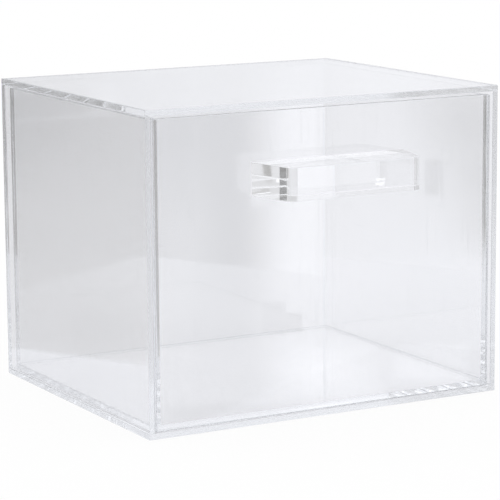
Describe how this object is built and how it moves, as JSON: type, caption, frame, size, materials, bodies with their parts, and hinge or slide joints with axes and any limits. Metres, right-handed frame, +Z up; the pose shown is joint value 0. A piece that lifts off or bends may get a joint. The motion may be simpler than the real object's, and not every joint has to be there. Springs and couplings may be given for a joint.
{
  "type": "acrylic towel box",
  "caption": "Clear acrylic box for folded towels: an open-fronted case with a pull-out drawer and a solid clear block handle.",
  "frame": {"origin": "centre of the case's underside, at the surface that it stands on", "axes": "+Z up, +X to the right seen from the front, +Y to the back; the drawer opens towards -Y"},
  "size_m": [0.3048, 0.2943, 0.2413],
  "materials": {
    "case_sheet": "polished",
    "drawer_sheet": "polished",
    "handle_block": "polished"
  },
  "bodies": {
    "case": {"case_top": "case_sheet", "case_bottom": "case_sheet", "case_left_side": "case_sheet", "case_right_side": "case_sheet", "case_back": "case_sheet"},
    "drawer": {"drawer_front": "drawer_sheet", "drawer_floor": "drawer_sheet", "drawer_left_side": "drawer_sheet", "drawer_right_side": "drawer_sheet", "drawer_back": "drawer_sheet", "drawer_handle": "handle_block"}
  },
  "joints": [
    {"name": "drawer_slide", "type": "slide", "parent": "case", "child": "drawer", "axis": [0, -1, 0], "range_m": [0, 0.235]}
  ]
}
